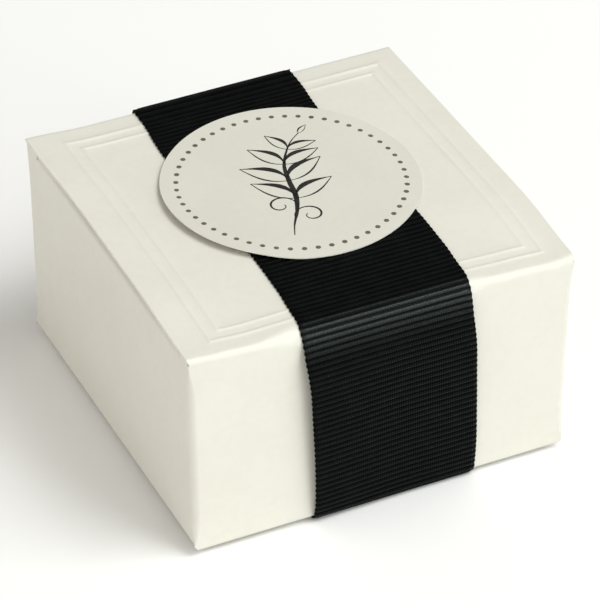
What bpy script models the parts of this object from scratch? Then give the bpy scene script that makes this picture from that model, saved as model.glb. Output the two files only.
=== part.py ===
"""A favor box: a folded card carton with an embossed lid that tucks in at the back,
a ribbon laid round it from front to back, and a round paper label on top."""
import math

import bmesh
import bpy
from mathutils import Matrix, Vector

# Sizes in metres. X runs along the front, Y towards the back, Z up from the middle of the footprint
box_width = 0.05715
box_depth = 0.05715
box_height = 0.0334
card_thickness = 0.00045
clearance = 0.0003

# Folds: the outside radius of the corner folds and the softer one between front wall and lid
crease_radius = 0.0009
front_crease_radius = 0.0016
tuck_crease_radius = 0.0007
crease_land = 0.0004
arc_steps = 6

# Lid, its flaps and the angle at which the tuck flap leans in from the back wall
lid_overhang = 0.0002
tuck_length = 0.0098
tuck_side_play = 0.0006
tuck_corner_radius = 0.0035
tuck_lean = math.radians(7)
dust_length = 0.0150
dust_front_inset = 0.0025
dust_rear_inset = 0.0034
dust_front_taper_share = 0.9
dust_rear_taper_share = 0.15
dust_corner_radius = 0.0012
shoulder_run = 0.0008

# Embossed frames: two square beads pressed up out of the lid, a little right of its middle
emboss_margin = 0.003275
emboss_shift = 0.00095
emboss_spacing = 0.00195
bead_width = 0.0007
bead_height = 0.00014

# Glued seam inside the right wall, and the base's four glued flaps
glue_flap_width = 0.0100
base_outer_setback = 0.0010
base_inner_length = 0.0360
base_dust_length = 0.0200
base_dust_taper_share = 0.35

# Ribbon: it wanders to the right on its way down the front
ribbon_width = 0.0254
ribbon_thickness = 0.00035
ribbon_shift = 0.0010
ribbon_drift = 0.0018
ribbon_steps = 4

# Label: its right edge bends down to the lid, its left edge stays up
label_diameter = 0.0372
label_thickness = 0.0002
label_shift_x = 0.0013
label_shift_y = 0.0038
label_lift = 0.0002
label_segments = 64

# Places that follow from the sizes
half_width = box_width / 2
half_depth = box_depth / 2
card_bottom = ribbon_thickness + clearance
card_top = card_bottom + box_height
layer = card_thickness + clearance
dust_top = card_top - layer
base_inner_level = card_bottom + layer
base_dust_level = base_inner_level + layer
fold_gap = crease_radius + clearance
middle = Vector((0, 0, (card_bottom + card_top) / 2))

front_crease_y = -half_depth + front_crease_radius
front_crease_z = card_top - front_crease_radius
tuck_face_y = half_depth - layer
tuck_hinge = Vector((0, tuck_face_y - tuck_crease_radius, card_top - tuck_crease_radius))

# A hinge line this far inside both faces keeps the card's length round the fold as the lid opens
pivot_depth = front_crease_radius * (1 - math.pi / 4)
lid_hinge = Vector((0, pivot_depth - half_depth, card_top - pivot_depth))
dust_hinge_z = dust_top - crease_radius - clearance / 2
dust_front = dust_front_inset - half_depth
dust_rear = half_depth - dust_rear_inset

# Colours: base colour, roughness and metallic value
finishes = {
    "card": ((0.80, 0.775, 0.69, 1), 0.55, 0.0),
    "ribbon": ((0.012, 0.014, 0.016, 1), 0.62, 0.0),
    "label": ((0.74, 0.72, 0.64, 1), 0.7, 0.0),
}


def clear_scene():
    for old in list(bpy.data.objects):
        bpy.data.objects.remove(old, do_unlink=True)


def make_collection(name):
    collection = bpy.data.collections.new(name)
    bpy.context.scene.collection.children.link(collection)
    return collection


def make_material(name):
    colour, roughness, metallic = finishes[name]
    material = bpy.data.materials.new(name)
    material.use_nodes = True
    material.diffuse_color = colour
    shader = material.node_tree.nodes["Principled BSDF"]
    shader.inputs["Base Color"].default_value = colour
    shader.inputs["Roughness"].default_value = roughness
    shader.inputs["Metallic"].default_value = metallic
    return material


def make_hinge(name, place):
    """An empty on a joint's axis, which carries the pieces that turn about it."""
    hinge = bpy.data.objects.new(name, None)
    hinge.location = place
    box.objects.link(hinge)
    return hinge


def hang_on(piece, hinge):
    piece.parent = hinge
    piece.matrix_parent_inverse = Matrix.Translation(-hinge.location)


def arc(centre, radius, start, end):
    """Points round a centre, from one angle in degrees to another, in the plane of the fold."""
    turns = [start + (end - start) * step / arc_steps for step in range(arc_steps + 1)]
    return [
        (
            centre[0] + radius * math.cos(math.radians(turn)),
            centre[1] + radius * math.sin(math.radians(turn)),
        )
        for turn in turns
    ]


def face_outwards(bm):
    """Every sheet here is drawn with its face looking away from the middle of the box."""
    bm.normal_update()
    looks_out = sum(
        face.calc_area() * face.normal.dot(face.calc_center_median() - middle) for face in bm.faces
    )
    if looks_out < 0:
        bmesh.ops.reverse_faces(bm, faces=bm.faces)


def finish_sheet(name, bm, finish, thickness, side):
    """A modelled surface as an object, with its thickness on one side: -1 is inwards."""
    face_outwards(bm)
    mesh = bpy.data.meshes.new(name)
    bm.to_mesh(mesh)
    bm.free()
    mesh.materials.append(materials[finish])
    piece = bpy.data.objects.new(name, mesh)
    box.objects.link(piece)
    solidify = piece.modifiers.new("thickness", "SOLIDIFY")
    solidify.thickness = thickness
    solidify.offset = side
    solidify.use_even_offset = True
    return piece


def swept_sheet(name, path, sweep, finish="card", cuts=(), round_end=0):
    """A sheet swept sideways from a path. Card grows inwards from its outer face and ribbon
    outwards from its inner face. Cuts are planes, and what their normals point at goes.
    round_end is the corner radius at the path's far end."""
    bm = bmesh.new()
    verts = [bm.verts.new(point) for point in path]
    edges = [bm.edges.new(pair) for pair in zip(verts, verts[1:])]
    swept = bmesh.ops.extrude_edge_only(bm, edges=edges)["geom"]
    moved = [part for part in swept if isinstance(part, bmesh.types.BMVert)]
    bmesh.ops.translate(bm, verts=moved, vec=sweep)
    for point, normal in cuts:
        geometry = bm.verts[:] + bm.edges[:] + bm.faces[:]
        bmesh.ops.bisect_plane(bm, geom=geometry, plane_co=point, plane_no=normal, clear_outer=True)
    if round_end:
        ahead = (Vector(path[-1]) - Vector(path[-2])).normalized()
        reach = max(vert.co.dot(ahead) for vert in bm.verts)
        corners = [vert for vert in bm.verts if reach - vert.co.dot(ahead) < clearance]
        bmesh.ops.bevel(
            bm, geom=corners, offset=round_end, segments=arc_steps, profile=0.5, affect="VERTICES"
        )
    thickness = ribbon_thickness if finish == "ribbon" else card_thickness
    side = 1 if finish == "ribbon" else -1
    return finish_sheet(name, bm, finish, thickness, side)


def make_wall(name, outline, bottom, top):
    """An upright wall from its outline seen from above."""
    path = [(x, y, bottom) for x, y in outline]
    return swept_sheet(name, path, (0, 0, top - bottom))


def raise_shoulder(wall, start):
    """Behind the dust flap a side wall's top steps up to the level of the folded flap."""
    crest = max(vert.co.z for vert in wall.data.vertices)
    for vert in wall.data.vertices:
        if vert.co.z == crest and vert.co.y > start:
            vert.co.z = dust_top


def make_walls():
    """Four walls. Each carries its half of the rounded corner folds, which part at 45 degrees."""
    corner_x = half_width - crease_radius
    corner_y = half_depth - crease_radius
    parting = math.degrees(clearance / 2 / (crease_radius - card_thickness / 2))
    front_left = (-corner_x, -corner_y)
    front_right = (corner_x, -corner_y)
    back_left = (-corner_x, corner_y)
    seam_corner = (corner_x - layer, corner_y)
    side_bottom = base_dust_level + fold_gap
    side_top = dust_top - fold_gap
    step_foot = dust_rear + clearance
    step_head = step_foot + shoulder_run
    step_middle = (step_foot + step_head) / 2

    front = arc(front_left, crease_radius, 225 + parting, 270)
    front += arc(front_right, crease_radius, 270, 315 - parting)
    front_top = front_crease_z - crease_land - clearance
    make_wall("front_wall", front, card_bottom + fold_gap, front_top)

    left = arc(back_left, crease_radius, 135 + parting, 180)
    left += [(-half_width, step_head), (-half_width, step_foot)]
    left += arc(front_left, crease_radius, 180, 225 - parting)
    raise_shoulder(make_wall("left_wall", left, side_bottom, side_top), step_middle)

    right = arc(front_right, crease_radius, 315 + parting, 360)
    right += [(half_width, step_foot), (half_width, step_head), (half_width, half_depth)]
    raise_shoulder(make_wall("right_wall", right, side_bottom, side_top), step_middle)

    back = arc(seam_corner, crease_radius, 0, 90)
    back += arc(back_left, crease_radius, 90, 135 - parting)
    make_wall("back_wall", back, base_inner_level + fold_gap, card_top - clearance)

    seam_x = half_width - layer
    seam_start = half_depth - fold_gap
    seam = [(seam_x, seam_start), (seam_x, seam_start - glue_flap_width)]
    seam_bottom = base_dust_level + layer
    make_wall("glue_flap", seam, seam_bottom, side_top)


def make_base():
    """The glued base: the outer panel folds from the front wall and the inner one from the
    back wall, over two dust flaps that fold from the side walls."""
    panel_half = half_width - crease_radius
    across = (2 * panel_half, 0, 0)

    fold = arc((-half_depth + crease_radius, card_bottom + crease_radius), crease_radius, 180, 270)
    fold.append((half_depth - base_outer_setback, card_bottom))
    path = [(-panel_half, y, z) for y, z in fold]
    swept_sheet("base_outer_panel", path, across)

    fold = arc((half_depth - crease_radius, base_inner_level + crease_radius), crease_radius, 0, -90)
    fold.append((half_depth - base_inner_length, base_inner_level))
    path = [(-panel_half, y, z) for y, z in fold]
    swept_sheet("base_inner_panel", path, across)

    side_half = half_depth - crease_radius
    for name, side in (("base_dust_flap_left", -1), ("base_dust_flap_right", 1)):
        centre = (crease_radius - half_width, base_dust_level + crease_radius)
        fold = arc(centre, crease_radius, 180, 270)
        fold.append((base_dust_length - half_width, base_dust_level))
        path = [(-side * x, -side_half, z) for x, z in fold]
        root = side * (half_width - crease_radius)
        cuts = [
            ((root, end * side_half, 0), (-side * base_dust_taper_share, end, 0)) for end in (-1, 1)
        ]
        swept_sheet(name, path, (0, 2 * side_half, 0), cuts=cuts, round_end=dust_corner_radius)


def make_dust_flaps():
    """The two flaps under the lid. They fold from the side walls and spring up with the lid."""
    for word, side in (("left", -1), ("right", 1)):
        centre = (crease_radius - half_width, dust_top - crease_radius)
        fold = arc(centre, crease_radius, 180, 90)
        fold.append((dust_length - half_width, dust_top))
        path = [(-side * x, dust_front, z) for x, z in fold]
        root = side * (half_width - crease_radius)
        cuts = [
            ((root, dust_front, 0), (-side * dust_front_taper_share, -1, 0)),
            ((root, dust_rear, 0), (-side * dust_rear_taper_share, 1, 0)),
        ]
        name = "lid_dust_flap_" + word
        sweep = (0, dust_rear - dust_front, 0)
        flap = swept_sheet(name, path, sweep, cuts=cuts, round_end=dust_corner_radius)
        hinge = make_hinge("dust_hinge_" + word, (side * half_width, 0, dust_hinge_z))
        hang_on(flap, hinge)


def make_lid(hinge):
    """The lid's flat panel with its two embossed frames, pressed up through the card."""
    lid_half = half_width + lid_overhang
    lid_front = front_crease_y + crease_land + clearance
    lid_back = tuck_hinge.y - clearance
    bm = bmesh.new()
    bmesh.ops.create_grid(bm, x_segments=1, y_segments=1, size=1)
    for vert in bm.verts:
        vert.co.x = math.copysign(lid_half, vert.co.x)
        vert.co.y = lid_back if vert.co.y > 0 else lid_front
        vert.co.z = card_top
    panel = bm.faces[:]
    bmesh.ops.inset_region(bm, faces=panel, thickness=bead_width, use_boundary=True)
    to_edge = emboss_margin - bead_width / 2
    for vert in panel[0].verts:
        vert.co.x = emboss_shift + math.copysign(half_width - to_edge, vert.co.x)
        vert.co.y = math.copysign(half_depth - to_edge, vert.co.y)
    for spacing in (emboss_spacing - bead_width, bead_width):
        for rise in (bead_height, -bead_height):
            bmesh.ops.inset_region(bm, faces=panel, thickness=bead_width / 2, depth=rise)
        bmesh.ops.inset_region(bm, faces=panel, thickness=spacing)
    hang_on(finish_sheet("lid_panel", bm, "card", card_thickness, -1), hinge)

    fold = [(-half_depth, front_crease_z - crease_land)]
    fold += arc((front_crease_y, front_crease_z), front_crease_radius, 180, 90)
    fold.append((front_crease_y + crease_land, card_top))
    path = [(-lid_half, y, z) for y, z in fold]
    swept_sheet("lid_crease", path, (2 * lid_half, 0, 0))


def make_tuck_flap(lid):
    """The flap along the lid's back edge. It turns about the middle of its own fold."""
    tuck_half = half_width - layer - card_thickness - tuck_side_play
    fold = arc(tuck_hinge.yz, tuck_crease_radius, 90, -math.degrees(tuck_lean))
    reach = tuck_length - tuck_crease_radius
    last_y, last_z = fold[-1]
    fold.append((last_y - reach * math.sin(tuck_lean), last_z - reach * math.cos(tuck_lean)))
    path = [(-tuck_half, y, z) for y, z in fold]
    sweep = (2 * tuck_half, 0, 0)
    flap = swept_sheet("tuck_flap", path, sweep, round_end=tuck_corner_radius)
    hinge = make_hinge("tuck_hinge", tuck_hinge)
    hang_on(hinge, lid)
    hang_on(flap, hinge)


def ribbon_piece(name, path, drifts=(0, 0)):
    """A length of ribbon along its inner face, with how far it has wandered at either end."""
    lengths = [0]
    for before, after in zip(path, path[1:]):
        lengths.append(lengths[-1] + math.dist(before, after))
    start, end = drifts
    left = ribbon_shift - ribbon_width / 2
    rail = [
        (left + start + (end - start) * length / lengths[-1], y, z)
        for (y, z), length in zip(path, lengths)
    ]
    return swept_sheet(name, rail, (ribbon_width, 0, 0), finish="ribbon")


def straight(start, end):
    """Even points from one place up to another, the last left out."""
    return [
        tuple(a + (b - a) * step / ribbon_steps for a, b in zip(start, end))
        for step in range(ribbon_steps)
    ]


def make_ribbon(hinge):
    """The ribbon: down the front, under the base, up the back and along the lid. It is parted at
    the lid's back edge, and a short bend joins lid and front so that the lid can open."""
    front_face = -half_depth - clearance
    back_face = half_depth + clearance
    lid_face = card_top + clearance
    low_radius = fold_gap
    top_radius = crease_radius
    low_front = (low_radius + front_face, ribbon_thickness + low_radius)
    low_back = (back_face - low_radius, ribbon_thickness + low_radius)
    high_back = (back_face - top_radius, lid_face - top_radius)
    land_z = front_crease_z - crease_land
    land_y = front_crease_y + crease_land

    down = straight((front_face, land_z - clearance), (front_face, low_front[1]))
    down += arc(low_front, low_radius, 180, 270)
    ribbon_piece("ribbon_front", down, (0, ribbon_drift))

    under = straight((low_front[0] + clearance, ribbon_thickness), (low_back[0], ribbon_thickness))
    under.append((low_back[0] - clearance, ribbon_thickness))
    ribbon_piece("ribbon_base", under, (ribbon_drift, 0))

    up = arc(low_back, low_radius, -90, 0)
    up += arc(high_back, top_radius, 0, 90)
    ribbon_piece("ribbon_back", up)

    along = straight((land_y + clearance, lid_face), (high_back[0] - clearance, lid_face))
    along.append((high_back[0] - clearance, lid_face))
    hang_on(ribbon_piece("ribbon_top", along), hinge)

    bend = [(front_face, land_z)]
    bend += arc((front_crease_y, front_crease_z), front_crease_radius + clearance, 180, 90)
    bend.append((land_y, lid_face))
    ribbon_piece("ribbon_bend", bend)


def ease(share):
    """A smooth step from 0 to 1."""
    share = min(max(share, 0), 1)
    return share * share * (3 - 2 * share)


def make_label(hinge):
    """The round label. Past the ribbon's edges it bends: down to the lid on the right."""
    radius = label_diameter / 2
    seat = card_top + clearance + ribbon_thickness + clearance
    ribbon_left = ribbon_shift - ribbon_width / 2
    ribbon_right = ribbon_shift + ribbon_width / 2
    left_reach = ribbon_left - (label_shift_x - radius)
    right_reach = label_shift_x + radius - ribbon_right
    bm = bmesh.new()
    bmesh.ops.create_circle(bm, cap_ends=True, radius=radius, segments=label_segments)
    bmesh.ops.translate(bm, verts=bm.verts, vec=(label_shift_x, label_shift_y, seat))
    for step in range(1, label_segments // 2):
        x = label_shift_x + radius * math.cos(2 * math.pi * step / label_segments)
        geometry = bm.verts[:] + bm.edges[:] + bm.faces[:]
        bmesh.ops.bisect_plane(bm, geom=geometry, plane_co=(x, 0, 0), plane_no=(1, 0, 0))
    for vert in bm.verts:
        drop = ease((vert.co.x - ribbon_right) / right_reach) * (ribbon_thickness + clearance)
        rise = ease((ribbon_left - vert.co.x) / left_reach) * label_lift
        vert.co.z += rise - drop
    hang_on(finish_sheet("label", bm, "label", label_thickness, 1), hinge)


clear_scene()
box = make_collection("favor_box")
materials = {name: make_material(name) for name in finishes}
make_walls()
make_base()
make_dust_flaps()
lid_axis = make_hinge("lid_hinge", lid_hinge)
make_lid(lid_axis)
make_tuck_flap(lid_axis)
make_ribbon(lid_axis)
make_label(lid_axis)
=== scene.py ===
# %% [markdown]
# # A small favor box, dressed for its portrait
#
# The box is one sheet of ivory card, cut, creased, folded and glued. A black cross-ribbed ribbon lies
# round it from front to back, and a round paper label sits on the ribbon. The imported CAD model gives
# every size and place, and this script lays the visible skins over it.

# %% The frame and the tools
import math

import bmesh
import bpy
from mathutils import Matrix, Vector


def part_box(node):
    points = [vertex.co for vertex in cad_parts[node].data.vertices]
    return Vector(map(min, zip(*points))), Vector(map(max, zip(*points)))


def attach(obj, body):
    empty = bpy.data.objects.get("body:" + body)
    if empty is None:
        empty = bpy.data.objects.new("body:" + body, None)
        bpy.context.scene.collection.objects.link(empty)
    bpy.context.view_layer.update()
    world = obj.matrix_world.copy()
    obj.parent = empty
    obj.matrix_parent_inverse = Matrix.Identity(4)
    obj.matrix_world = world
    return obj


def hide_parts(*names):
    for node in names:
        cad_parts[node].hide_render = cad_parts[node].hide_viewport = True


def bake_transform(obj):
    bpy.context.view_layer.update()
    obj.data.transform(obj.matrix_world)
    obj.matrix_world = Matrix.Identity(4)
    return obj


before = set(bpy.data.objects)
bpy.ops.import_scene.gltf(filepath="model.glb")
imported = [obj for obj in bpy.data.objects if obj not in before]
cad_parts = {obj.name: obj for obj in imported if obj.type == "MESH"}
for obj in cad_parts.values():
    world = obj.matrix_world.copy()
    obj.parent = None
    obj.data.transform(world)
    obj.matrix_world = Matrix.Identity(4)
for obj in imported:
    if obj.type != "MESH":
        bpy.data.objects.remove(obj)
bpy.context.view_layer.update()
MM = 0.001

# %% [markdown]
# ## The camera
#
# The photograph was taken from far off with a long lens, so the box's parallel edges stay nearly
# parallel. A long lens far away gives the same calm look, so the camera stands over ten box widths
# away, to the left of the front and well above it.

# %% New objects and their directions


def new_object(name, data):
    """An object made of that data, in the scene."""
    made = bpy.data.objects.new(name, data)
    bpy.context.scene.collection.objects.link(made)
    return made


def look_along(thing, direction):
    """Turns a camera or a lamp to look along a direction."""
    thing.rotation_mode = "QUATERNION"
    thing.rotation_quaternion = direction.to_track_quat("-Z", "Y")


print("object helpers are ready")

# %% Camera
camera_place = Vector((-0.20600, -0.43767, 0.37389))
camera_azimuth = math.radians(25.3)
camera_elevation = math.radians(36.5)
camera_lens = 252.8
view_direction = Vector((
    math.sin(camera_azimuth) * math.cos(camera_elevation),
    math.cos(camera_azimuth) * math.cos(camera_elevation),
    -math.sin(camera_elevation),
))
camera = new_object("camera", bpy.data.cameras.new("camera"))
camera.data.lens = camera_lens
camera.data.sensor_width = 36
camera.location = camera_place
look_along(camera, view_direction)
bpy.context.scene.camera = camera
print("camera at", [round(v, 3) for v in camera_place])

# %% [markdown]
# ## Sizes
#
# The box's lengths are in millimetres, because card and ribbon are thin things that are easier to
# think of that way. Camera, floor and lights are in metres, as Blender has them. The places come from
# the CAD nodes, so that each skin lies where its solid is.

# %% Sizes from the frame


def span(node):
    """A CAD node's lowest and highest corners, in millimetres."""
    low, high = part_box(node)
    return low / MM, high / MM


half = span("right_wall")[1].x
lid_side_extra = 0.25
lid_half = span("lid_panel")[1].x + lid_side_extra
lid_top = span("lid_crease")[1].z
card_thickness = span("glue_flap")[1].x - span("glue_flap")[0].x
base_z = span("base_outer_panel")[0].z
wall_fold_z = 32.0
front_fold_z = 31.3
post_drop = 0.8
post_top_z = lid_top - post_drop
corner_radius = 1.1
corner_radius_end = 0.2
corner_even_low, corner_even_high = 5, 27
box_middle = Vector((0, 0, lid_top / 2))
print("half width", round(half, 3), "lid top", round(lid_top, 3), "card", round(card_thickness, 3))

# %% [markdown]
# ## How the box has settled
#
# A folded box is never a true block. The front corners of this one spread a little, its front edge
# sags beside the ribbon and at the right corner, and its rear wall leans out where the lid's tuck
# pushes it. One gentle bend of space describes all of that. Every piece goes through it, so card,
# ribbon and label keep touching where they touch.

# %% Settling
# Pairs are for the left and the right side, and stops are (place, amount), all in millimetres.
front_spread = (-0.57, 0.75)
rear_lean = (1.0, 1.1)
rear_reach = ((24.5, 0.0), (27.8, 1.0), (28.12, 0.7), (30, 0.7))
rear_shift = (0.0, -0.3)
front_sags = (
    (-29.1, 0.0), (-24, 0.4), (-19, 0.7), (-12, 0.55), (13, 0.55), (20, 0.86), (26, 1.15), (29.1, 0.75),
)
sag_reach = (10, 28)


def blend_in(value, low, high):
    """0 below low, 1 above high, and an even S between."""
    share = min(1.0, max(0.0, (value - low) / (high - low)))
    return share * share * (3 - 2 * share)


def look_up(stops, at):
    """A value between stops of (place, value), joined smoothly."""
    for (x0, v0), (x1, v1) in zip(stops, stops[1:]):
        if at <= x1:
            return v0 + (v1 - v0) * blend_in(at, x0, x1)
    return stops[-1][1]


def between(pair, right):
    """A value between the left side's and the right side's."""
    return pair[0] * (1 - right) + pair[1] * right


def settled(point):
    """Where a point of the true block, in millimetres, has settled."""
    x, y, z = point
    up = z / lid_top
    right, back = (x / half + 1) / 2, (y / half + 1) / 2
    spread = between(front_spread, right) * (1 - back)
    shift = between(rear_shift, right) * back
    lean = between(rear_lean, right) * look_up(rear_reach, y)
    sag = look_up(front_sags, x) * blend_in(-y, *sag_reach)
    return Vector((x + (spread + shift) * up, y + lean * up, z - sag * up))


corner_top = Vector((half, -half, lid_top))
print("the right front corner moves by", [round(v, 2) for v in settled(corner_top) - corner_top])

# %% [markdown]
# ## How a material is wired
#
# A material here is a small graph of nodes. The same few calls also build the Geometry Nodes trees
# further down, so they come first: one adds a node and feeds its sockets, one does sums with sockets.

# %% Helpers for node trees


def add_node(tree, kind, inputs=(), **settings):
    """Adds a node, sets its options, and feeds its inputs with values or with other nodes' outputs."""
    made = tree.nodes.new(kind)
    for key, value in settings.items():
        setattr(made, key, value)
    for key, value in dict(inputs).items():
        if isinstance(value, bpy.types.NodeSocket):
            tree.links.new(value, made.inputs[key])
        else:
            made.inputs[key].default_value = value
    return made


def calc(tree, operation, *values):
    """One sum on numbers."""
    return add_node(tree, "ShaderNodeMath", dict(enumerate(values)), operation=operation).outputs[0]


def times(tree, first, second):
    """One number times another."""
    return calc(tree, "MULTIPLY", first, second)


def vector(tree, operation, *values, **scale):
    """One sum on directions or places."""
    inputs = dict(enumerate(values)) | {key.capitalize(): value for key, value in scale.items()}
    return add_node(tree, "ShaderNodeVectorMath", inputs, operation=operation).outputs[0]


def ramp(tree, value, low, high, start=0.0, stop=1.0):
    """A smooth step of a value from one range to another."""
    inputs = {"Value": value, "From Min": low, "From Max": high, "To Min": start, "To Max": stop}
    return add_node(tree, "ShaderNodeMapRange", inputs, interpolation_type="SMOOTHSTEP").outputs[0]


def new_material(name, base, roughness, **others):
    """A principled material with its tree and its shader, ready for more nodes."""
    material = bpy.data.materials.new(name)
    material.use_nodes = True
    shader = material.node_tree.nodes["Principled BSDF"]
    shader.inputs["Base Color"].default_value = (*base, 1)
    shader.inputs["Roughness"].default_value = roughness
    for key, value in others.items():
        shader.inputs[key.replace("_", " ")].default_value = value
    return material, material.node_tree, shader


def noise(tree, place, per_mm, detail=2.0, roughness=0.5):
    """Noise with so many waves in a millimetre."""
    inputs = {"Vector": place, "Scale": per_mm / MM, "Detail": detail, "Roughness": roughness}
    return add_node(tree, "ShaderNodeTexNoise", inputs).outputs[0]


def two_tones(tree, share, first, second):
    """A colour between two, by a share."""
    inputs = {"Factor": share, "A": (*first, 1), "B": (*second, 1)}
    return add_node(tree, "ShaderNodeMix", inputs, data_type="RGBA").outputs["Result"]


def bump(tree, height, depth_mm):
    """A normal from a height, in millimetres of relief."""
    inputs = {"Height": height, "Distance": depth_mm * MM, "Strength": 1.0}
    return add_node(tree, "ShaderNodeBump", inputs).outputs[0]


def attribute(tree, name):
    """A number that the mesh carries on its points."""
    return add_node(tree, "ShaderNodeAttribute", attribute_name=name).outputs["Fac"]


print("node helpers are ready")

# %% [markdown]
# ## Ivory card
#
# The card has a faint pearl: smooth, with a soft broad shine, and a very fine tooth from its fibres.
# Its tone drifts a little from place to place. Noise at several scales gives these: waves of about a
# centimetre and a millimetre for the tone, tenths of a millimetre for the tooth, and stretched waves
# for the fibres.

# %% Card finishes
mottle_share, drift_share = 0.45, 0.55
fibre_stretch = (1.0, 0.22, 0.6)
fibre_share = 0.5


def card_finish(name, light, dark, roughness, tooth, **others):
    """A card or paper finish from two near tones and a fine tooth, in millimetres."""
    material, tree, shader = new_material(name, light, roughness, **others)
    place = add_node(tree, "ShaderNodeTexCoord").outputs["Object"]
    drift = noise(tree, place, per_mm=0.12, detail=3.0, roughness=0.6)
    mottle = noise(tree, place, per_mm=0.9, detail=4.0, roughness=0.55)
    clouds = calc(tree, "MULTIPLY_ADD", mottle, mottle_share, times(tree, drift, drift_share))
    tones = two_tones(tree, ramp(tree, clouds, 0.36, 0.64), light, dark)
    tree.links.new(tones, shader.inputs["Base Color"])
    stretched = vector(tree, "MULTIPLY", place, fibre_stretch)
    fibres = noise(tree, stretched, per_mm=9.0, detail=3.0, roughness=0.6)
    grain = noise(tree, place, per_mm=5.0, detail=4.0, roughness=0.65)
    relief = calc(tree, "MULTIPLY_ADD", fibres, fibre_share, grain)
    tree.links.new(bump(tree, relief, tooth), shader.inputs["Normal"])
    dullness = ramp(tree, grain, 0.3, 0.7, roughness - 0.05, roughness + 0.07)
    tree.links.new(dullness, shader.inputs["Roughness"])
    return material


card_face = card_finish("ivory pearl card", (0.775, 0.765, 0.69), (0.755, 0.74, 0.66), 0.42, 0.006,
                        Specular_IOR_Level=0.45)
card_inside = card_finish("card inside", (0.80, 0.79, 0.73), (0.77, 0.755, 0.69), 0.8, 0.012)
card_edge = card_finish("cut card edge", (0.84, 0.83, 0.77), (0.78, 0.765, 0.69), 0.85, 0.02)
print("card finishes: 3")

# %% [markdown]
# ## Black ribbon
#
# Ribbed ribbon is woven from very fine lengthwise threads over thick cross threads. The thick ribs
# are real geometry. The fine threads are far too small for that, so a wave across the ribbon bumps
# them. Black yarn shows little but its gleam: where the ribbon is taut over the front fold the crests
# of its ribs shine, and the grooves between them stay dark. The mesh carries what the finish needs to
# know of that: the place across and along, how near a rib's crest, and how far the ribbon faces up.

# %% Ribbon finish
ribbon_width = 25.0
thread_pitch = 0.34
thread_wobble = 3.0
yarn_relief = 0.03
yarn_black, yarn_worn = (0.0022, 0.0026, 0.0024), (0.0034, 0.0040, 0.0038)
top_gleam, bend_gleam, front_share, groove_share = 0.08, 0.54, 0.15, 0.15


def ribbon_finish():
    """Black yarn: fine lengthwise threads, dark grooves, and crests that gleam where it is taut."""
    material, tree, shader = new_material(
        "black ribbed ribbon", (0.0012, 0.0015, 0.0016), 0.32, Specular_Tint=(0.84, 1.0, 0.98, 1),
    )
    across, along, crest, up = (attribute(tree, name) for name in ("across", "along", "crest", "up"))
    turns = 2 * math.pi * ribbon_width / thread_pitch
    drift = noise(tree, add_node(tree, "ShaderNodeTexCoord").outputs["Object"], per_mm=0.8)
    wobble = times(tree, drift, thread_wobble)
    threads = calc(tree, "SINE", calc(tree, "MULTIPLY_ADD", across, turns, wobble))
    flat = {"X": times(tree, across, ribbon_width * MM), "Y": along}
    place = add_node(tree, "ShaderNodeCombineXYZ", flat).outputs[0]
    fuzz = noise(tree, place, per_mm=6.0, detail=1.0, roughness=0.5)
    relief = calc(tree, "MULTIPLY_ADD", fuzz, 0.8, times(tree, threads, 0.5))
    tree.links.new(bump(tree, relief, yarn_relief), shader.inputs["Normal"])
    worn = ramp(tree, noise(tree, place, per_mm=0.35, detail=3.0, roughness=0.6), 0.4, 0.7)
    tree.links.new(two_tones(tree, worn, yarn_black, yarn_worn), shader.inputs["Base Color"])
    past_top = ramp(tree, up, 1.0, 0.8, top_gleam, bend_gleam)
    taut = times(tree, past_top, ramp(tree, up, 0.45, 0.08, 1.0, front_share))
    gleam = times(tree, ramp(tree, crest, 0.1, 0.8, groove_share, 1.0), taut)
    gleam = times(tree, gleam, ramp(tree, fuzz, 0.35, 0.65, 0.6, 1.4))
    tree.links.new(gleam, shader.inputs["Specular IOR Level"])
    tree.links.new(ramp(tree, fuzz, 0.3, 0.7, 0.36, 0.50), shader.inputs["Roughness"])
    return material


ribbon_black = ribbon_finish()
print("ribbon finish, a thread each", thread_pitch, "mm")

# %% [markdown]
# ## Label paper and inks
#
# The label is matt text paper, a touch greener than the card, with a clean bright edge where the
# punch cut it. The inks are flat colours broken up by the paper's tooth.

# %% Label finishes
label_paper = card_finish("matt ivory paper", (0.69, 0.68, 0.607), (0.67, 0.66, 0.585), 0.72, 0.010,
                          Specular_IOR_Level=0.3)
label_rim = card_finish("punched paper edge", (0.90, 0.89, 0.84), (0.86, 0.85, 0.79), 0.8, 0.012)
dot_ink = card_finish("grey olive ink", (0.155, 0.148, 0.088), (0.118, 0.112, 0.066), 0.7, 0.010,
                      Specular_IOR_Level=0.25)
pen_ink = card_finish("soft black ink", (0.026, 0.024, 0.022), (0.017, 0.016, 0.015), 0.62, 0.010,
                      Specular_IOR_Level=0.3)
print("label finishes: 4")

# %% [markdown]
# ## A sheet from rows of points
#
# Folded card is a developable sheet: rows of points along the fold, one row after another. The outer
# face is built as a grid, and a Solidify modifier gives it the card's thickness inwards, with its own
# finish inside and on the cut edge.

# %% A skin from rows of points


def finish_sheet(name, mesh, thickness, finishes):
    """Turns a bmesh of millimetres into a smooth sheet with real thickness under its outer face."""
    outward = 0.0
    for face in mesh.faces:
        face.smooth = True
        outward += face.normal.dot(face.calc_center_median() - box_middle) * face.calc_area()
    if outward < 0:
        bmesh.ops.reverse_faces(mesh, faces=mesh.faces[:])
    for edge in mesh.edges:
        edge.smooth = not edge.is_boundary
    for vert in mesh.verts:
        vert.co = settled(vert.co) * MM
    data = bpy.data.meshes.new(name)
    mesh.to_mesh(data)
    mesh.free()
    sheet = new_object(name, data)
    for finish in finishes:
        data.materials.append(finish)
    body = sheet.modifiers.new("thickness", "SOLIDIFY")
    body.thickness = thickness * MM
    body.offset = -1
    body.material_offset = 1
    body.material_offset_rim = 2
    return sheet


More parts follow.
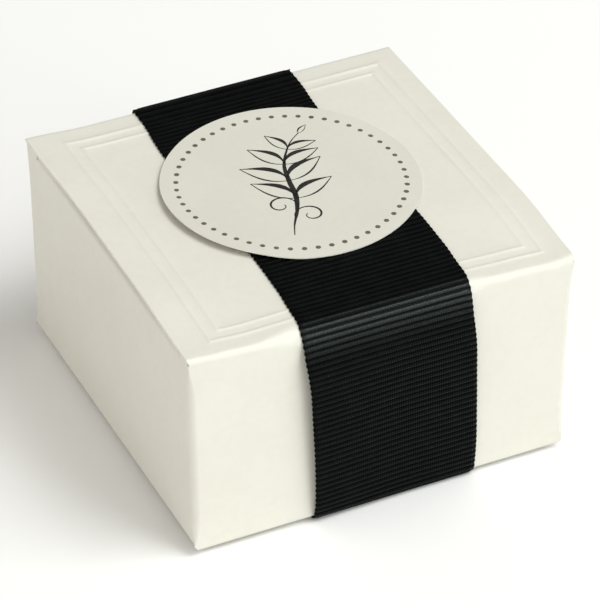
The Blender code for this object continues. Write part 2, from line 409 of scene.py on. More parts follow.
def grid_mesh(*grids):
    """A bmesh of quads over grids of rows of points. Points that fall together are merged."""
    mesh = bmesh.new()
    for rows in grids:
        verts = [[mesh.verts.new(point) for point in row] for row in rows]
        for low, high in zip(verts, verts[1:]):
            for k in range(len(low) - 1):
                mesh.faces.new((low[k], low[k + 1], high[k + 1], high[k]))
    bmesh.ops.remove_doubles(mesh, verts=mesh.verts[:], dist=1e-4)
    mesh.normal_update()
    return mesh


def card_skin(name, *grids):
    """A card sheet through rows of points."""
    return finish_sheet(name, grid_mesh(*grids), card_thickness, (card_face, card_inside, card_edge))


def even(low, high, count):
    """Even steps from low to high, with both ends."""
    return [low + (high - low) * k / count for k in range(count + 1)]


def around(centre, radius, angle):
    """The point of a circle at an angle in radians."""
    return centre[0] + radius * math.cos(angle), centre[1] + radius * math.sin(angle)


def arc(centre, radius, start, stop, steps):
    """Points of an arc in a plane, with its angles in degrees."""
    return [around(centre, radius, math.radians(angle)) for angle in even(start, stop, steps)]


print("sheet helpers are ready")

# %% [markdown]
# ## The lines that the panels share
#
# The lid and the front wall are one piece of card, so both are drawn over the same lines from left to
# right. The lines stand close together where the two embossed squares run, and further apart elsewhere.

# %% Shared lines
emboss_middle = Vector((0.68, -0.2))
emboss_half = Vector((25.0, 25.1))
emboss_step = 1.95
emboss_width = 1.0
emboss_cuts = 8
emboss_clear = 0.62
grid_step = 1.6
fold_safe_y = -26.2
tuck_start_y = 26.3
left_bow = 0.75
left_bow_reach = 10.0
left_bow_start, left_bow_end = (-28, -10), (14, 26)
left_bow_ease = 0.3
back_lift = 0.3
back_lift_run = (-20, 27)


def lid_rise(x, y):
    """The lid's slow bends: the sprung left edge and the lifted back."""
    along = blend_in(y, *left_bow_start) * (1 - left_bow_ease * blend_in(y, *left_bow_end))
    bow = left_bow * along * blend_in(-x, lid_half - left_bow_reach, lid_half)
    return bow + back_lift * blend_in(y, *back_lift_run)


def panel_lines(low, high, pressed):
    """Grid lines from low to high, a step apart, with closely set ones where the pressed lines are."""
    lines = even(low, high, round((high - low) / grid_step))
    for centre in pressed:
        lines = [v for v in lines if abs(v - centre) > emboss_width * emboss_clear]
        lines += [centre + emboss_width * (k / emboss_cuts - 0.5) for k in range(emboss_cuts + 1)]
    return sorted(lines)


def bead_lines(axis):
    """Where the two pressed squares cross an axis, 0 for x and 1 for y."""
    reach = emboss_half[axis]
    return [emboss_middle[axis] + sign * (reach - line) for sign in (-1, 1) for line in (0, emboss_step)]


lid_xs = panel_lines(-lid_half, lid_half, bead_lines(0))
lid_ys = panel_lines(fold_safe_y, tuck_start_y, bead_lines(1))
print("lid grid:", len(lid_xs), "by", len(lid_ys))

# %% [markdown]
# ## The carton's walls
#
# The four walls are one strip that turns three rounded corners and ends in a glue flap behind the
# fourth. The walls are drawn as a path seen from above, and each column of points rises from the base
# to its own top edge: low where a flap folds over, high at the posts in the front corners.

# %% Wall columns
steps_round = 8
flap_face = half - card_thickness
flap_turn = 0.9
flap_end_y = span("glue_flap")[0].y
dust_front_y = span("lid_dust_flap_left")[0].y
dust_rear_y = span("lid_dust_flap_left")[1].y
dust_cuts = 16
dust_lines = even(dust_front_y, dust_rear_y, dust_cuts)
shoulder_run = 0.02
post_gap = 0.45
wall_foot_z = 3.35
post_foot_z = base_z + 2 * card_thickness
back_top_drop = 0.15
back_top_z = span("back_wall")[1].z - back_top_drop
lid_clearance = 0.02
under_lid_z = lid_top - card_thickness - lid_clearance
lid_end_y = 27.2
corner_clearance = 0.1


def corner_round(z):
    """The radius of an upright corner. It tightens where the corner ends at the lid and at the base."""
    tight = blend_in(z, corner_even_high, post_top_z) + 1 - blend_in(z, post_foot_z, corner_even_low)
    return corner_radius + (corner_radius_end - corner_radius) * tight


def still(x, y, top):
    """A column of the wall that rises straight up to its top."""
    return (lambda z: (x, y)), top


def corner(side, end, angle, top):
    """A column on an upright corner. The corner's radius changes with the height."""

    def place(z):
        radius = corner_round(z)
        return around((side * (half - radius), end * (half - radius)), radius, math.radians(angle))

    return place, top


def corner_run(side, end, start, stop, top):
    """All the columns of one corner."""
    return [corner(side, end, angle, top) for angle in even(start, stop, steps_round)]


def side_columns(side):
    """A side wall's columns from the rear to the front."""
    stops = [(half - corner_radius - corner_clearance, back_top_z)]
    stops += [(y, under_lid_z + lid_rise(side * half, y)) for y in (lid_end_y, dust_rear_y + shoulder_run)]
    stops += [(y, wall_fold_z) for y in dust_lines[::-1]]
    stops.append((dust_front_y - shoulder_run, under_lid_z))
    near_post = (lambda z: (side * half, -half + corner_round(z) + post_gap)), under_lid_z
    return [still(side * half, y, top) for y, top in stops] + [near_post]


def front_column(x):
    """A column of the front wall under one of the lid's lines."""
    return (lambda z: (x / lid_half * (half - corner_round(z)), -half)), front_fold_z


front_right = corner_run(1, -1, 0, -90, post_top_z)
front_left = corner_run(-1, -1, 270, 180, post_top_z)
back_left = corner_run(-1, 1, 180, 90, back_top_z)
seam_arc = arc((flap_face - flap_turn, half - flap_turn), flap_turn, 90, 0, steps_round)
seam_turn = [still(x, y, back_top_z if x < flap_face - flap_turn / 3 else wall_fold_z) for x, y in seam_arc]
right_run = [still(half, half, back_top_z)] + side_columns(1) + front_right
left_run = front_left + side_columns(-1)[::-1] + back_left + seam_turn
left_run.append(still(flap_face, flap_end_y, wall_fold_z))
front_run = [front_column(x) for x in lid_xs[::-1]]
print("wall columns:", len(right_run), "right,", len(front_run), "front,", len(left_run), "left and back")

# %% Walls and glue flap
wall_rows, rim_rows = 10, 4


def rise(columns, low, tops, count):
    """Rows over the columns, from one height to another that may differ from column to column."""
    levels = zip(*(even(low, top, count) for top in tops))
    return [[(*place(z), z) for (place, _), z in zip(columns, heights)] for heights in levels]


whole = right_run + front_run[1:-1] + left_run
corners = (front_right, front_left, back_left, seam_turn)
grids = [rise(whole, wall_foot_z, [front_fold_z] * len(whole), wall_rows)]
grids += [rise(run, front_fold_z, [top for _, top in run], rim_rows) for run in (right_run, left_run)]
grids += [rise(run, post_foot_z, [wall_foot_z] * len(run), rim_rows) for run in corners]
carton_walls = card_skin("carton_walls", *grids)
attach(carton_walls, "carton")
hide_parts("front_wall", "left_wall", "right_wall", "back_wall", "glue_flap")
print("walls:", len(carton_walls.data.polygons), "faces")

# %% [markdown]
# ## The folded base
#
# Under the box four flaps fold in from the walls and lie on each other: two short ones from the sides,
# then one from the back, then the full one from the front that closes the base.

# %% Base flaps
base_fold_radius = 0.8
base_fold_flat = 0.5
base_side_gap = half - span("base_outer_panel")[1].x
base_gap_rows = (3, 8)
base_cuts = 24
base_taper = 7.0
fold_steps = 6
lead_rows = 4


def base_flap(name, node, wall, face_z, reach, taper=0.0):
    """A flap folded in under the box from one wall. wall is the wall's outward direction."""
    foot = face_z + base_fold_radius
    profile = [(half, z) for z in even(wall_foot_z, foot, lead_rows)[:-1]]
    profile += arc((half - base_fold_radius, foot), base_fold_radius, 0, -90, fold_steps)
    profile += [(half - base_fold_radius - base_fold_flat, face_z), (reach, face_z)]
    rows = []
    for k, (out, z) in enumerate(profile):
        narrow = taper if k == len(profile) - 1 else 0
        width = half - max(corner_round(z), base_side_gap * blend_in(k, *base_gap_rows)) - narrow
        row = []
        for along in (share * width for share in even(-1, 1, base_cuts)):
            row.append((wall[0] * out - wall[1] * along, wall[1] * out + wall[0] * along, z))
        rows.append(row)
    flap = card_skin(name, rows)
    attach(flap, "carton")
    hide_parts(node)


base_flap("base_outer", "base_outer_panel", (0, -1), base_z, -span("base_outer_panel")[1].y)
base_flap("base_inner", "base_inner_panel", (0, 1), base_z + card_thickness, span("base_inner_panel")[0].y)
for side, word in ((-1, "left"), (1, "right")):
    base_flap(f"base_dust_{word}", f"base_dust_flap_{word}", (side, 0), base_z + 2 * card_thickness,
              span("base_dust_flap_right")[0].x, base_taper)
print("base: 4 flaps")

# %% [markdown]
# ## The lid
#
# The lid is one piece with the front wall, bent over a soft fold. Two thin square lines are pressed
# up through it. The fold is tight at the corners and fuller under the ribbon. The left edge springs
# up a little in its middle, as card does when its flap pushes back.

# %% Shape of the lid
emboss_height = 0.13
emboss_even, emboss_uneven = 0.85, 0.3
fold_cuts = 10
fold_radii = ((-29.1, 0.8), (-19, 0.95), (-12.5, 2.2), (13.4, 2.2), (15.5, 1.1), (24, 0.95), (29.1, 1.2))
overhang = 0.42
left_overhang_run, right_overhang_run = (6, 24), (-28.6, -14)


def emboss(x, y):
    """How far the two pressed lines stand up at a point of the lid."""
    outward = max(abs(x - emboss_middle.x) - emboss_half.x, abs(y - emboss_middle.y) - emboss_half.y)
    stand = 0.0
    for line in (0.0, -emboss_step):
        away = abs(outward - line) / (emboss_width / 2)
        if away < 1:
            uneven = emboss_uneven * math.sin(0.31 * x + 1) * math.sin(0.23 * y + 2)
            pressed = emboss_height * (emboss_even + uneven)
            stand = max(stand, pressed * (0.5 + 0.5 * math.cos(math.pi * away)))
    return stand


def lid_edge(x, y):
    """How far out the lid reaches. Its overhang dies away at the front, and along most of the left."""
    flush = 1 - blend_in(y, *(left_overhang_run if x < 0 else right_overhang_run))
    return lid_half - overhang * flush


# %% Lid skin


def lid_rows():
    """Rows from the front wall up over the fold and back along the lid."""
    fold_feet = [lid_top - look_up(fold_radii, x) for x in lid_xs]
    rows = rise([front_column(x) for x in lid_xs], front_fold_z, fold_feet, lead_rows)[:-1]
    for k in range(fold_cuts + 1):
        angle = math.radians(90 * k / fold_cuts)
        row = []
        for x in lid_xs:
            radius = look_up(fold_radii, x)
            y = -half + radius * (1 - math.cos(angle))
            z = lid_top - radius + (radius + lid_rise(x, y)) * math.sin(angle)
            flush = half - corner_radius_end
            row.append((x / lid_half * (flush + (lid_edge(x, y) - flush) * math.sin(angle)), y, z))
        rows.append(row)
    rows += [[(x / lid_half * lid_edge(x, y), y, lid_top + emboss(x, y) + lid_rise(x, y)) for x in lid_xs]
             for y in lid_ys]
    return rows


lid_skin = card_skin("lid_skin", lid_rows())
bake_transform(lid_skin)
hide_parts("lid_panel", "lid_crease")
print("lid:", len(lid_skin.data.polygons), "faces")

# %% [markdown]
# ## The tuck flap
#
# At the back the lid folds down and tucks inside the back wall. It leans in a little, and its lower
# corners are rounded so that it slides home.

# %% Tuck flap
tuck_half = span("tuck_flap")[1].x
tuck_low_z = span("tuck_flap")[0].z
tuck_lean_degrees = 7
tuck_lean = math.radians(tuck_lean_degrees)
tuck_fold_radius = 0.8
tuck_flat_y, tuck_fold_y = 26.7, 27.0
tuck_corner = 3.5
tuck_relief_z, tuck_relief_run = 33.7, 0.3
tuck_shoulder_z, tuck_shoulder_run = 33.0, 0.4
tuck_clearance = 0.6
tuck_shoulder_half = half - card_thickness - tuck_clearance


def tuck_rows():
    """Rows from the lid's back edge down to the flap's rounded end."""
    profile = [(tuck_start_y, lid_top), (tuck_flat_y, lid_top)]
    centre = (tuck_fold_y, lid_top - tuck_fold_radius)
    profile += arc(centre, tuck_fold_radius, 90, -tuck_lean_degrees, fold_cuts)
    y0, z0 = profile[-1]
    reach = (z0 - tuck_low_z) / math.cos(tuck_lean)
    slides = [reach - tuck_corner * (1 - math.sin(math.radians(a))) for a in range(0, 91, 15)]
    profile += [(y0 - d * math.sin(tuck_lean), z0 - d * math.cos(tuck_lean)) for d in slides]
    rows = []
    for y, z in profile:
        from_end = max(0.0, 1 - (z - tuck_low_z) / (tuck_corner * math.cos(tuck_lean)))
        width = tuck_half - tuck_corner * (1 - math.sqrt(max(0.0, 1 - from_end ** 2)))
        high = blend_in(z, tuck_relief_z - tuck_relief_run, tuck_relief_z)
        at_shoulder = blend_in(z, tuck_shoulder_z - tuck_shoulder_run, tuck_shoulder_z)
        width += (tuck_shoulder_half - width) * at_shoulder
        width += (lid_half - width) * high
        rows.append([(x * width / lid_half, y, z + lid_rise(x, y) * high) for x in lid_xs])
    return rows


tuck_skin = card_skin("tuck_skin", tuck_rows())
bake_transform(tuck_skin)
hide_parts("tuck_flap")
print("tuck:", len(tuck_skin.data.polygons), "faces")

# %% [markdown]
# ## The dust flaps
#
# Two flaps fold in from the side walls, under the lid, and keep dust and small sweets where they
# belong. Their soft folds show as a warm line under the lid's side edges.

# %% Dust flaps
dust_radius = 1.0
dust_clearance = 0.03
dust_under = card_thickness + dust_clearance
dust_slant = 1.2
dust_corner, dust_corner_share = 1.0, 0.85
dust_rows = 6


def dust_flap(side, word):
    """One flap under the lid, with its fold on the side wall."""
    node = f"lid_dust_flap_{word}"
    tip = min(abs(span(node)[0].x), abs(span(node)[1].x))
    face_z = lid_top - dust_under
    flat = half - dust_radius
    profile = [(half, wall_fold_z)]
    profile += arc((flat, face_z - dust_radius), dust_radius, 0, 90, steps_round)
    profile += [(x, face_z) for x in even(flat, tip, dust_rows)[1:]]
    rows = []
    for out, z in profile:
        inward = max(0.0, (flat - out) / (flat - tip))
        cut = dust_corner * blend_in(inward, dust_corner_share, 1)
        front = dust_front_y + dust_slant * inward + cut
        rear = dust_rear_y - dust_slant * inward - cut
        rows.append([(side * out, y, z) for y in even(front, rear, dust_cuts)])
    flap = card_skin(f"dust_{word}_skin", rows)
    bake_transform(flap)
    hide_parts(node)


for side, word in ((-1, "left"), (1, "right")):
    dust_flap(side, word)
print("dust flaps: 2")

# %% [markdown]
# ## The ribbon
#
# Ribbed ribbon has a thick cross thread every millimetre or so, and a smooth firm edge. The ribs
# follow the ribbon's path, so Geometry Nodes sweep one ribbed strip along a line of points: a grid
# gives the strip, the curve gives its place, and a cosine wave raises the ribs, most where the
# ribbon turns and its outside is stretched.

# %% Starting and ending a node tree


def new_tree(name, numbers):
    """An empty Geometry Nodes tree with named inputs for its sizes and one for its finish."""
    tree = bpy.data.node_groups.new(name, "GeometryNodeTree")
    tree.interface.new_socket("Geometry", in_out="INPUT", socket_type="NodeSocketGeometry")
    for label, value in numbers.items():
        made = tree.interface.new_socket(label, in_out="INPUT", socket_type="NodeSocketFloat")
        made.default_value = value
    finish = tree.interface.new_socket("Finish", in_out="INPUT", socket_type="NodeSocketMaterial")
    tree.interface.new_socket("Geometry", in_out="OUTPUT", socket_type="NodeSocketGeometry")
    return tree, finish.identifier, add_node(tree, "NodeGroupInput").outputs


def close_tree(tree, given, geometry):
    """Ends a tree in Realize Instances and Set Material."""
    real = add_node(tree, "GeometryNodeRealizeInstances", {0: geometry}).outputs[0]
    painted = add_node(tree, "GeometryNodeSetMaterial", {"Geometry": real, "Material": given["Finish"]})
    add_node(tree, "NodeGroupOutput", {0: painted.outputs[0]})


def carried(tree, name, kind):
    """A value that the points of the line carry."""
    return add_node(tree, "GeometryNodeInputNamedAttribute", {"Name": name}, data_type=kind).outputs[0]


print("tree helpers are ready")

# %% Ribbon node tree
rib_pitch = 0.94
rib_height = 0.16
ribbon_body = 0.16
rib_cuts = 8
width_cuts = 34
selvedge_rib = 0.15
flat_rib, fold_rib = 0.8, 0.7
lift_from, lift_to = 0.12, -0.5


def make_ribbon_tree():
    """Builds the node tree that lays a ribbed strip along a path."""
    tree, finish_socket, given = new_tree("ribbed strip along a path", {
        "Width": ribbon_width * MM, "Rib Pitch": rib_pitch * MM, "Rib Height": rib_height * MM,
        "Selvedge": 0.6 * MM, "Scallop": 0.05 * MM, "Rib Wander": 0.12 * MM,
    })
    path = add_node(tree, "GeometryNodeMeshToCurve", {"Mesh": given["Geometry"]}).outputs[0]
    length = add_node(tree, "GeometryNodeCurveLength", {"Curve": path}).outputs[0]
    ribs = calc(tree, "ROUND", calc(tree, "DIVIDE", length, given["Rib Pitch"]))
    strip = add_node(tree, "GeometryNodeMeshGrid", {
        "Size X": 1.0, "Size Y": 1.0, "Vertices X": width_cuts + 1,
        "Vertices Y": calc(tree, "MULTIPLY_ADD", ribs, rib_cuts, 1.0),
    }).outputs[0]
    grid_place = add_node(tree, "GeometryNodeInputPosition").outputs[0]
    spot = add_node(tree, "ShaderNodeSeparateXYZ", {0: grid_place}).outputs
    across = spot["X"]
    along = calc(tree, "ADD", spot["Y"], 0.5)
    run = times(tree, along, length)
    asked = {"Curves": path, "Value": carried(tree, "edge lift", "FLOAT"), "Factor": along}
    sample = add_node(tree, "GeometryNodeSampleCurve", asked, data_type="FLOAT", mode="FACTOR").outputs
    out = vector(tree, "NORMALIZE", vector(tree, "CROSS_PRODUCT", sample["Tangent"], (1, 0, 0)))
    flat = {"X": times(tree, across, given["Width"]), "Y": run}
    flat_place = add_node(tree, "ShaderNodeCombineXYZ", flat).outputs[0]
    wander = calc(tree, "SUBTRACT", noise(tree, flat_place, per_mm=0.11, detail=1.0), 0.5)
    wander = times(tree, wander, calc(tree, "DIVIDE", given["Rib Wander"], given["Rib Pitch"]))
    turn = times(tree, calc(tree, "MULTIPLY_ADD", along, ribs, wander), 2 * math.pi)
    from_edge = times(tree, calc(tree, "SUBTRACT", 0.5, calc(tree, "ABSOLUTE", across)), given["Width"])
    body = ramp(tree, from_edge, times(tree, given["Selvedge"], 0.6), given["Selvedge"])
    wave = calc(tree, "MULTIPLY_ADD", calc(tree, "COSINE", turn), -0.5, 0.5)
    facing = add_node(tree, "ShaderNodeSeparateXYZ", {0: out}).outputs
    fold = calc(tree, "ABSOLUTE", times(tree, times(tree, facing["Y"], facing["Z"]), 2.0))
    rib = times(tree, wave, calc(tree, "ADD", body, selvedge_rib))
    stand = times(tree, given["Rib Height"], calc(tree, "MULTIPLY_ADD", fold, fold_rib, flat_rib))
    rib = times(tree, rib, stand)
    edge_bead = times(tree, ramp(tree, from_edge, given["Selvedge"], 0.0), given["Rib Height"])
    lift = times(tree, ramp(tree, across, lift_from, lift_to), sample[0])
    height = calc(tree, "ADD", calc(tree, "ADD", rib, times(tree, edge_bead, 0.5)), lift)
    scallop = times(tree, calc(tree, "COSINE", turn), times(tree, across, given["Scallop"]))
    shift = calc(tree, "MULTIPLY_ADD", across, given["Width"], times(tree, scallop, 2.0))
    moved = vector(tree, "ADD", sample["Position"], vector(tree, "SCALE", (1, 0, 0), scale=shift))
    moved = vector(tree, "ADD", moved, vector(tree, "SCALE", out, scale=height))
    # The finish's numbers are stored on the flat grid, because once it is bent they would be read anew.
    for name, value in {"across": across, "along": run, "crest": wave, "up": facing["Z"]}.items():
        kept = {"Geometry": strip, "Name": name, "Value": value}
        store = add_node(tree, "GeometryNodeStoreNamedAttribute", kept, data_type="FLOAT", domain="POINT")
        strip = store.outputs[0]
    laid = add_node(tree, "GeometryNodeSetPosition", {"Geometry": strip, "Position": moved}).outputs[0]
    close_tree(tree, given, add_node(tree, "GeometryNodeFlipFaces", {0: laid}).outputs[0])
    return tree, finish_socket


ribbon_tree, ribbon_socket = make_ribbon_tree()
print("ribbon tree:", len(ribbon_tree.nodes), "nodes, a rib each", rib_pitch, "mm")

# %% Lines to run along


def smooth_path(stops, step):
    """A fine line through stops of (x, y, z, lift), rounded as a stiff ribbon rounds them."""
    gaps = [math.dist(a[:3], b[:3]) for a, b in zip(stops, stops[1:])]
    slopes = []
    for here, there, gap in zip(stops, stops[1:], gaps):
        slopes.append([(b - a) / gap for a, b in zip(here, there)])
    bends = [slopes[0]]
    for k in range(1, len(gaps)):
        share = gaps[k] / (gaps[k] + gaps[k - 1])
        bends.append([a * share + b * (1 - share) for a, b in zip(slopes[k - 1], slopes[k])])
    bends.append(slopes[-1])
    fine = []
    for k, gap in enumerate(gaps):
        count = max(1, round(gap / step))
        for t in (i / count for i in range(count)):
            spot = []
            for a, b, m, n in zip(stops[k], stops[k + 1], bends[k], bends[k + 1]):
                square = 3 * (b - a) - gap * (2 * m + n)
                cube = 2 * (a - b) + gap * (m + n)
                spot.append(a + gap * m * t + square * t ** 2 + cube * t ** 3)
            fine.append(spot)
    return fine + [list(stops[-1])]


def run_tree(name, line, tree, finish_socket, finish, smooth):
    """Runs a node tree on a line of points and keeps the result as a plain mesh."""
    piece = new_object(name, line)
    maker = piece.modifiers.new(tree.name, "NODES")
    maker.node_group = tree
    maker[finish_socket] = finish
    plain = bpy.data.meshes.new_from_object(piece.evaluated_get(bpy.context.evaluated_depsgraph_get()))
    piece.modifiers.remove(maker)
    piece.data = plain
    plain.name = name
    for vert in plain.vertices:
        vert.co = settled(vert.co / MM) * MM
    plain.polygons.foreach_set("use_smooth", [smooth] * len(plain.polygons))
    return piece


def line_mesh(name, points):
    """A mesh of edges through points in millimetres."""
    line = bpy.data.meshes.new(name)
    edges = [(k, k + 1) for k in range(len(points) - 1)]
    line.from_pydata([Vector(p[:3]) * MM for p in points], edges, [])
    return line


print("lines and runs are ready")

# %% Ribbon's way round the box
path_step = 0.4
ribbon_gap = 0.19
front_y = -half - ribbon_gap
ribbon_end_y = 28
under = 0.23
middle_stops = (
    (-4, 0.55), (1.5, 0.4), (11, -0.25), (20, 0.2), (30, 0.9), (39, 1.15), (47, 1.1), (52, 0.8), (57, 0.4),
    (61, 0.42), (68, 1.0), (76, 1.5), (83, 1.85), (90, 1.95), (150, 1.95),
)
base_x, back_drift, back_drift_run = 1.95, 1.4, (0, 30)


def lay_ribbon(name, stops):
    """A length of ribbon along stops of (x, y, z, lift of the left edge)."""
    points = smooth_path(stops, path_step)
    line = line_mesh(name, points)
    line.attributes.new("edge lift", "FLOAT", "POINT").data.foreach_set("value", [p[3] * MM for p in points])
    strip = run_tree(name, line, ribbon_tree, ribbon_socket, ribbon_black, smooth=True)
    body = strip.modifiers.new("thickness", "SOLIDIFY")
    body.thickness = ribbon_body * MM
    body.offset = -1
    return strip


def on_lid(y):
    """The ribbon's height over the lid's middle."""
    return y, lid_top + lid_rise(0, y) + ribbon_gap


def over_fold():
    """The line over the card's front fold, as (y, z) from the lid to the front wall."""
    radius = look_up(fold_radii, 0)
    outside = radius + ribbon_gap
    line = []
    for turn in range(0, 76, 15):
        angle = math.radians(90 - turn)
        y = -half + radius - outside * math.cos(angle)
        line.append((y, lid_top - radius + outside * math.sin(angle) + lid_rise(0, y) * math.sin(angle)))
    return line


def ribbon_middle(y, z):
    """Where the ribbon's middle runs, left or right. It wanders a little, as a ribbon laid by hand does."""
    return look_up(middle_stops, (ribbon_end_y - y) + (lid_top - z))


main_line = [on_lid(y) for y in (27.70, 24, 20, 16, 10, 4, -2, -8, -13, -18, -20, -22, -24, -25.5)]
main_line += over_fold()
front_line = [
    (-29.15, 30.9), (-29.42, 29.6), (-29.62, 27.6), (-29.66, 25), (-29.5, 19), (-29.3, 12.4), (-29.1, 6),
    (front_y, 2.2), (front_y + 0.15, 1.1), (front_y + 0.7, 0.42), (front_y + 1.6, under), (-25, under),
    (-10, under),
]
lifts = [0] * len(main_line) + [0.1, 0.2, 0.3, 0.4, 0.5, 0.6, 0.5, 0.4, 0.2, 0, 0, 0, 0]
main_stops = [(ribbon_middle(y, z), y, z, lift) for (y, z), lift in zip(main_line + front_line, lifts)]
back_line = [
    (-10, under), (10, under), (24, under), (26.6, under), (27.8, 0.36), (28.55, 0.95), (28.77, 2.0),
    (28.8, 17), (28.78, 31), (28.76, 33.0), (28.62, 33.7), (28.3, 34.15), (27.72, on_lid(27.7)[1]),
]
back_stops = [(base_x - back_drift * blend_in(z, *back_drift_run), y, z, 0) for y, z in back_line]
print("ribbon stops:", len(main_stops), "over the top and front,", len(back_stops), "below and behind")

# %% Ribbon pieces
ribbon_main = lay_ribbon("ribbon_main", main_stops)
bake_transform(ribbon_main)
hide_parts("ribbon_top", "ribbon_bend", "ribbon_front")
ribbon_back = lay_ribbon("ribbon_back_run", back_stops)
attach(ribbon_back, "carton")
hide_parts("ribbon_base", "ribbon_back")
for piece in (ribbon_main, ribbon_back):
    print(piece.name, len(piece.data.polygons), "faces")

# %% [markdown]
# ## The label
#
# A round of stiff paper is stuck on the ribbon. It is wider than the ribbon, so its right side drops
# to the card and its left side stands free and lifts.

# %% Label
label_x, label_y, label_radius = 0.81, 2.82, 18.4
label_thickness = 0.15
label_gap = 0.02
label_on_ribbon = ribbon_gap + rib_height + label_thickness + label_gap
lift_x, lift_y = 0.93, 0.37
rim_lift, rim_lift_run = 0.62, (11.5, 18.2)
rim_drop, rim_drop_run = 0.42, (13.0, 18.5)
label_rings, label_spokes = 16, 96


def label_height(x, y):
    """The label's upper face."""
    toward_rim = -(lift_x * (x - label_x) + lift_y * (y - label_y))
    lifted = rim_lift * blend_in(toward_rim, *rim_lift_run)
    dropped = rim_drop * blend_in(x, *rim_drop_run)
    return lid_top + lid_rise(0, y) + label_on_ribbon + lifted - dropped


def label_rows():
    """Rings of points from the middle to the rim."""
    rows = []
    for radius in even(0, label_radius, label_rings):
        turns = even(0, 2 * math.pi, label_spokes)
        ring = [around((label_x, label_y), radius, turn) for turn in turns]
        rows.append([(x, y, label_height(x, y)) for x, y in ring])
    return rows


label_mesh = grid_mesh(label_rows())
label = finish_sheet("round_label", label_mesh, label_thickness, (label_paper, label_paper, label_rim))
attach(label, "lid")
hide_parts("label")
print("label:", len(label.data.polygons), "faces")

# %% [markdown]
# ## The ring of dots
#
# Fifty-three small printed dots stand in a ring inside the label's edge. Things that repeat along a
# path are a task for Geometry Nodes: one low dot is made once and placed on each point of the ring,
# turned to the label's own slope there.

# %% Ring of dots
dot_count = 53
dot_ring_middle, dot_ring_radius = (0.84, 2.72), 16.15
dot_radius, dot_height, dot_sink = 0.39, 0.02, 0.003
dot_corners, dot_top_share = 12, 0.92


def make_dots_tree():
    """Builds the node tree that sets a dot on every point of a line."""
    sizes = {"Dot Radius": dot_radius * MM, "Dot Height": dot_height * MM}
    tree, finish_socket, given = new_tree("dots on a ring", sizes)
    dot = add_node(tree, "GeometryNodeMeshCone", {
        "Vertices": dot_corners, "Radius Bottom": given["Dot Radius"], "Depth": given["Dot Height"],
        "Radius Top": times(tree, given["Dot Radius"], dot_top_share),
    })
    slope = carried(tree, "label slope", "FLOAT_VECTOR")
    turned = add_node(tree, "FunctionNodeAlignRotationToVector", {"Vector": slope}, axis="Z")
    placed = add_node(tree, "GeometryNodeInstanceOnPoints", {
        "Points": given["Geometry"], "Instance": dot.outputs[0], "Rotation": turned.outputs[0]})
    close_tree(tree, given, placed.outputs[0])
    return tree, finish_socket


def label_slope(x, y):
    """The direction straight out of the label at a point."""
    step = 0.05
    rise_x = (label_height(x + step, y) - label_height(x - step, y)) / (2 * step)
    rise_y = (label_height(x, y + step) - label_height(x, y - step)) / (2 * step)
    return Vector((-rise_x, -rise_y, 1)).normalized()


ring = [around(dot_ring_middle, dot_ring_radius, 2 * math.pi * k / dot_count) for k in range(dot_count)]
ring_line = line_mesh("dot_ring", [(x, y, label_height(x, y) - dot_sink) for x, y in ring])
slopes = [v for x, y in ring for v in label_slope(x, y)]
ring_line.attributes.new("label slope", "FLOAT_VECTOR", "POINT").data.foreach_set("vector", slopes)
dots_tree, dots_socket = make_dots_tree()
label_dots = run_tree("label_dots", ring_line, dots_tree, dots_socket, dot_ink, smooth=False)
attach(label_dots, "lid")
print("dots:", dot_count, "in", len(label_dots.data.polygons), "faces")

# %% [markdown]
# ## The pen ornament
#
# A broad pen swells on the down stroke and thins to a hairline on the way up. A leafy sprig drawn
# that way fills the label's middle: one long stem with two curls, and pairs of leaves with one heavy
# and one light side. Each stroke is a narrow strip with its own width at every point.

# %% Pen strokes
ink_height = 0.015
leaf_cuts = 14


def stroke(mesh, line, thin, thick, peak):
    """Adds one pen stroke along a line on the label: thin at both ends and thick at its peak."""
    last = len(line) - 1
    before = None
    for k, (x, y) in enumerate(line):
        share = k / last
        press = share / peak if share < peak else (1 - share) / (1 - peak)
        width = thin + (thick - thin) * blend_in(press, 0, 1)
        x0, y0 = line[max(0, k - 1)]
        x1, y1 = line[min(last, k + 1)]
        run = math.hypot(x1 - x0, y1 - y0) or 1.0
        side_x, side_y = -(y1 - y0) / run * width / 2, (x1 - x0) / run * width / 2
        pair = []
        for sign in (1, -1):
            px, py = x + sign * side_x, y + sign * side_y
            pair.append(mesh.verts.new((px, py, label_height(px, py) + ink_height)))
        if before:
            mesh.faces.new((before[0], before[1], pair[1], pair[0]))
        before = pair


def leaf_side(foot, heading, length, bulge):
    """One side of a leaf from its foot to its tip, bowed to one side."""
    points = []
    for k in range(leaf_cuts + 1):
        t = k / leaf_cuts
        out = bulge * length * math.sin(math.pi * t ** 0.8)
        points.append((foot[0] + heading[0] * length * t - heading[1] * out,
                       foot[1] + heading[1] * length * t + heading[0] * out))
    return points


print("the pen is ready")

# %% Sprig
stem_stops = (
    (-4.2, -9.2), (-3.2, -7.0), (-1.5, -4.2), (-0.1, -0.8), (0.6, 3.0), (1.5, 6.4), (3.2, 9.4), (5.2, 11.8),
    (6.8, 13.0),
)
stem_step = 0.25
curl_stations = ((0.16, 1), (0.25, -1))
curl_cuts, curl_step, curl_fade = 29, 0.60375, 34
curl_heading, curl_turn, curl_start = 68, 15, 10
leaf_stations = ((0.36, 7.2), (0.52, 7.4), (0.68, 6.3), (0.83, 4.6))
leaf_turns = (56, -50)
tip_heading, tip_length = (0.78, 0.62), 2.4
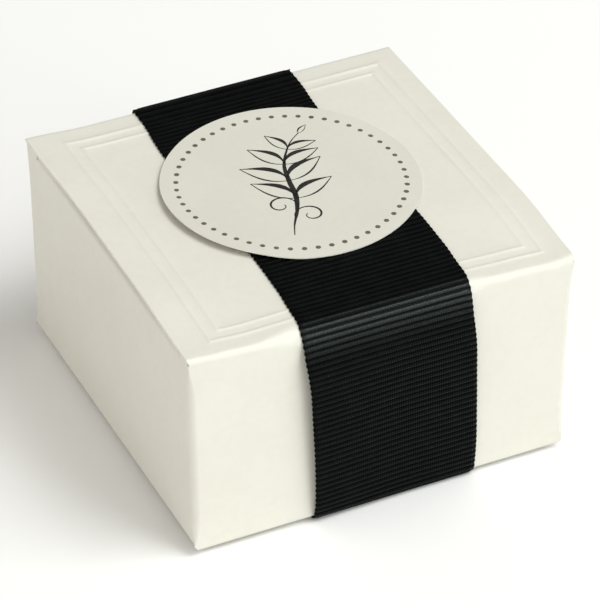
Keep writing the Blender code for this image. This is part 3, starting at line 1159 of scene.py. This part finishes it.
# A stroke's width is thin at its ends, thick at its peak, and the peak is a share of its length.
stem_pen = (0.14, 0.78, 0.40)
curl_pen = (0.12, 0.30, 0.35)
leaf_thin, tip_thin, leaf_peak = 0.12, 0.07, 0.45
stem = [p[:2] for p in smooth_path([(x, y, 0) for x, y in stem_stops], stem_step)]
stem_last = len(stem) - 1
ink = bmesh.new()
stroke(ink, stem, *stem_pen)
for station, side in curl_stations:
    curl = [stem[round(station * stem_last)]]
    for k in range(curl_cuts):
        turn = math.radians(curl_heading - side * (k * curl_turn - curl_start))
        curl.append(around(curl[-1], curl_step * (1 - k / curl_fade), turn))
    stroke(ink, curl, *curl_pen)
for station, size in leaf_stations:
    spot = round(station * stem_last)
    (x0, y0), (x1, y1) = stem[spot - 2], stem[min(stem_last, spot + 2)]
    course = math.atan2(y1 - y0, x1 - x0)
    for turn in leaf_turns:
        heading = around((0, 0), 1, course + math.radians(turn))
        heavy = -1 if turn > 0 else 1
        for bulge, thick in ((0.20 * heavy, 0.62), (-0.15 * heavy, 0.2)):
            side = leaf_side(stem[spot], heading, size, bulge)
            stroke(ink, side, leaf_thin, thick * size / 5, leaf_peak)
for bulge, thick in ((0.18, 0.26), (-0.14, 0.11)):
    stroke(ink, leaf_side(stem[-1], tip_heading, tip_length, bulge), tip_thin, thick, leaf_peak)
ink.normal_update()
sprig = finish_sheet("label_sprig", ink, 0.02, (pen_ink, pen_ink, pen_ink))
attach(sprig, "lid")
print("sprig:", len(sprig.data.polygons), "faces")

# %% [markdown]
# ## Floor and light
#
# A studio for small goods is a pale table under soft lights. A broad light stands high at the right,
# in front of the box. A tall narrow one stands low in front, brightens the front wall and gives the
# ribs that turn over the front fold their gleam. The room behind the table is dimmer than the rest,
# and that dark side keeps the ribbon's flat top black, because there it mirrors nothing bright.

# %% Floor
floor_reach = 3
floor_mesh = bmesh.new()
bmesh.ops.create_grid(floor_mesh, x_segments=1, y_segments=1, size=floor_reach)
floor_data = bpy.data.meshes.new("floor")
floor_mesh.to_mesh(floor_data)
floor_mesh.free()
floor = new_object("floor", floor_data)
floor_white, _, _ = new_material("floor white", (0.97, 0.97, 0.965), 0.9)
floor_data.materials.append(floor_white)
print("floor is laid")

# %% Light
light_aim = Vector((0, 0, 0.02))
dark_side = Vector((0.34, 0.72, 0.60)).normalized()
open_sky, dim_sky = 0.76, 0.18
world = bpy.data.worlds.new("studio")
bpy.context.scene.world = world
world.use_nodes = True
studio = world.node_tree
sky = studio.nodes["Background"]
sky.inputs["Color"].default_value = (1.0, 0.967, 0.91, 1)
toward = add_node(studio, "ShaderNodeTexCoord").outputs["Generated"]
facing = add_node(studio, "ShaderNodeVectorMath", {0: toward, 1: dark_side}, operation="DOT_PRODUCT")
dimmed = ramp(studio, facing.outputs["Value"], 0.35, 0.95, open_sky, dim_sky)
studio.links.new(dimmed, sky.inputs["Strength"])


def soft_light(name, place, width, height, power, tint):
    """A soft light of some width and height, turned to the box."""
    light = bpy.data.lights.new(name, "AREA")
    light.shape = "RECTANGLE"
    light.size = width
    light.size_y = height
    light.energy = power
    light.color = tint
    lamp = new_object(name, light)
    lamp.location = place
    look_along(lamp, light_aim - Vector(place))


soft_light("key", (0.52, -0.42, 1.10), width=0.6, height=0.75, power=8.9, tint=(0.975, 1.0, 1.0))
soft_light("low front light", (0.42, -0.96, 0.62), width=0.24, height=1.1, power=2.5, tint=(0.88, 0.98, 1.0))
bpy.context.scene.view_settings.view_transform = "Standard"
print("light is set")
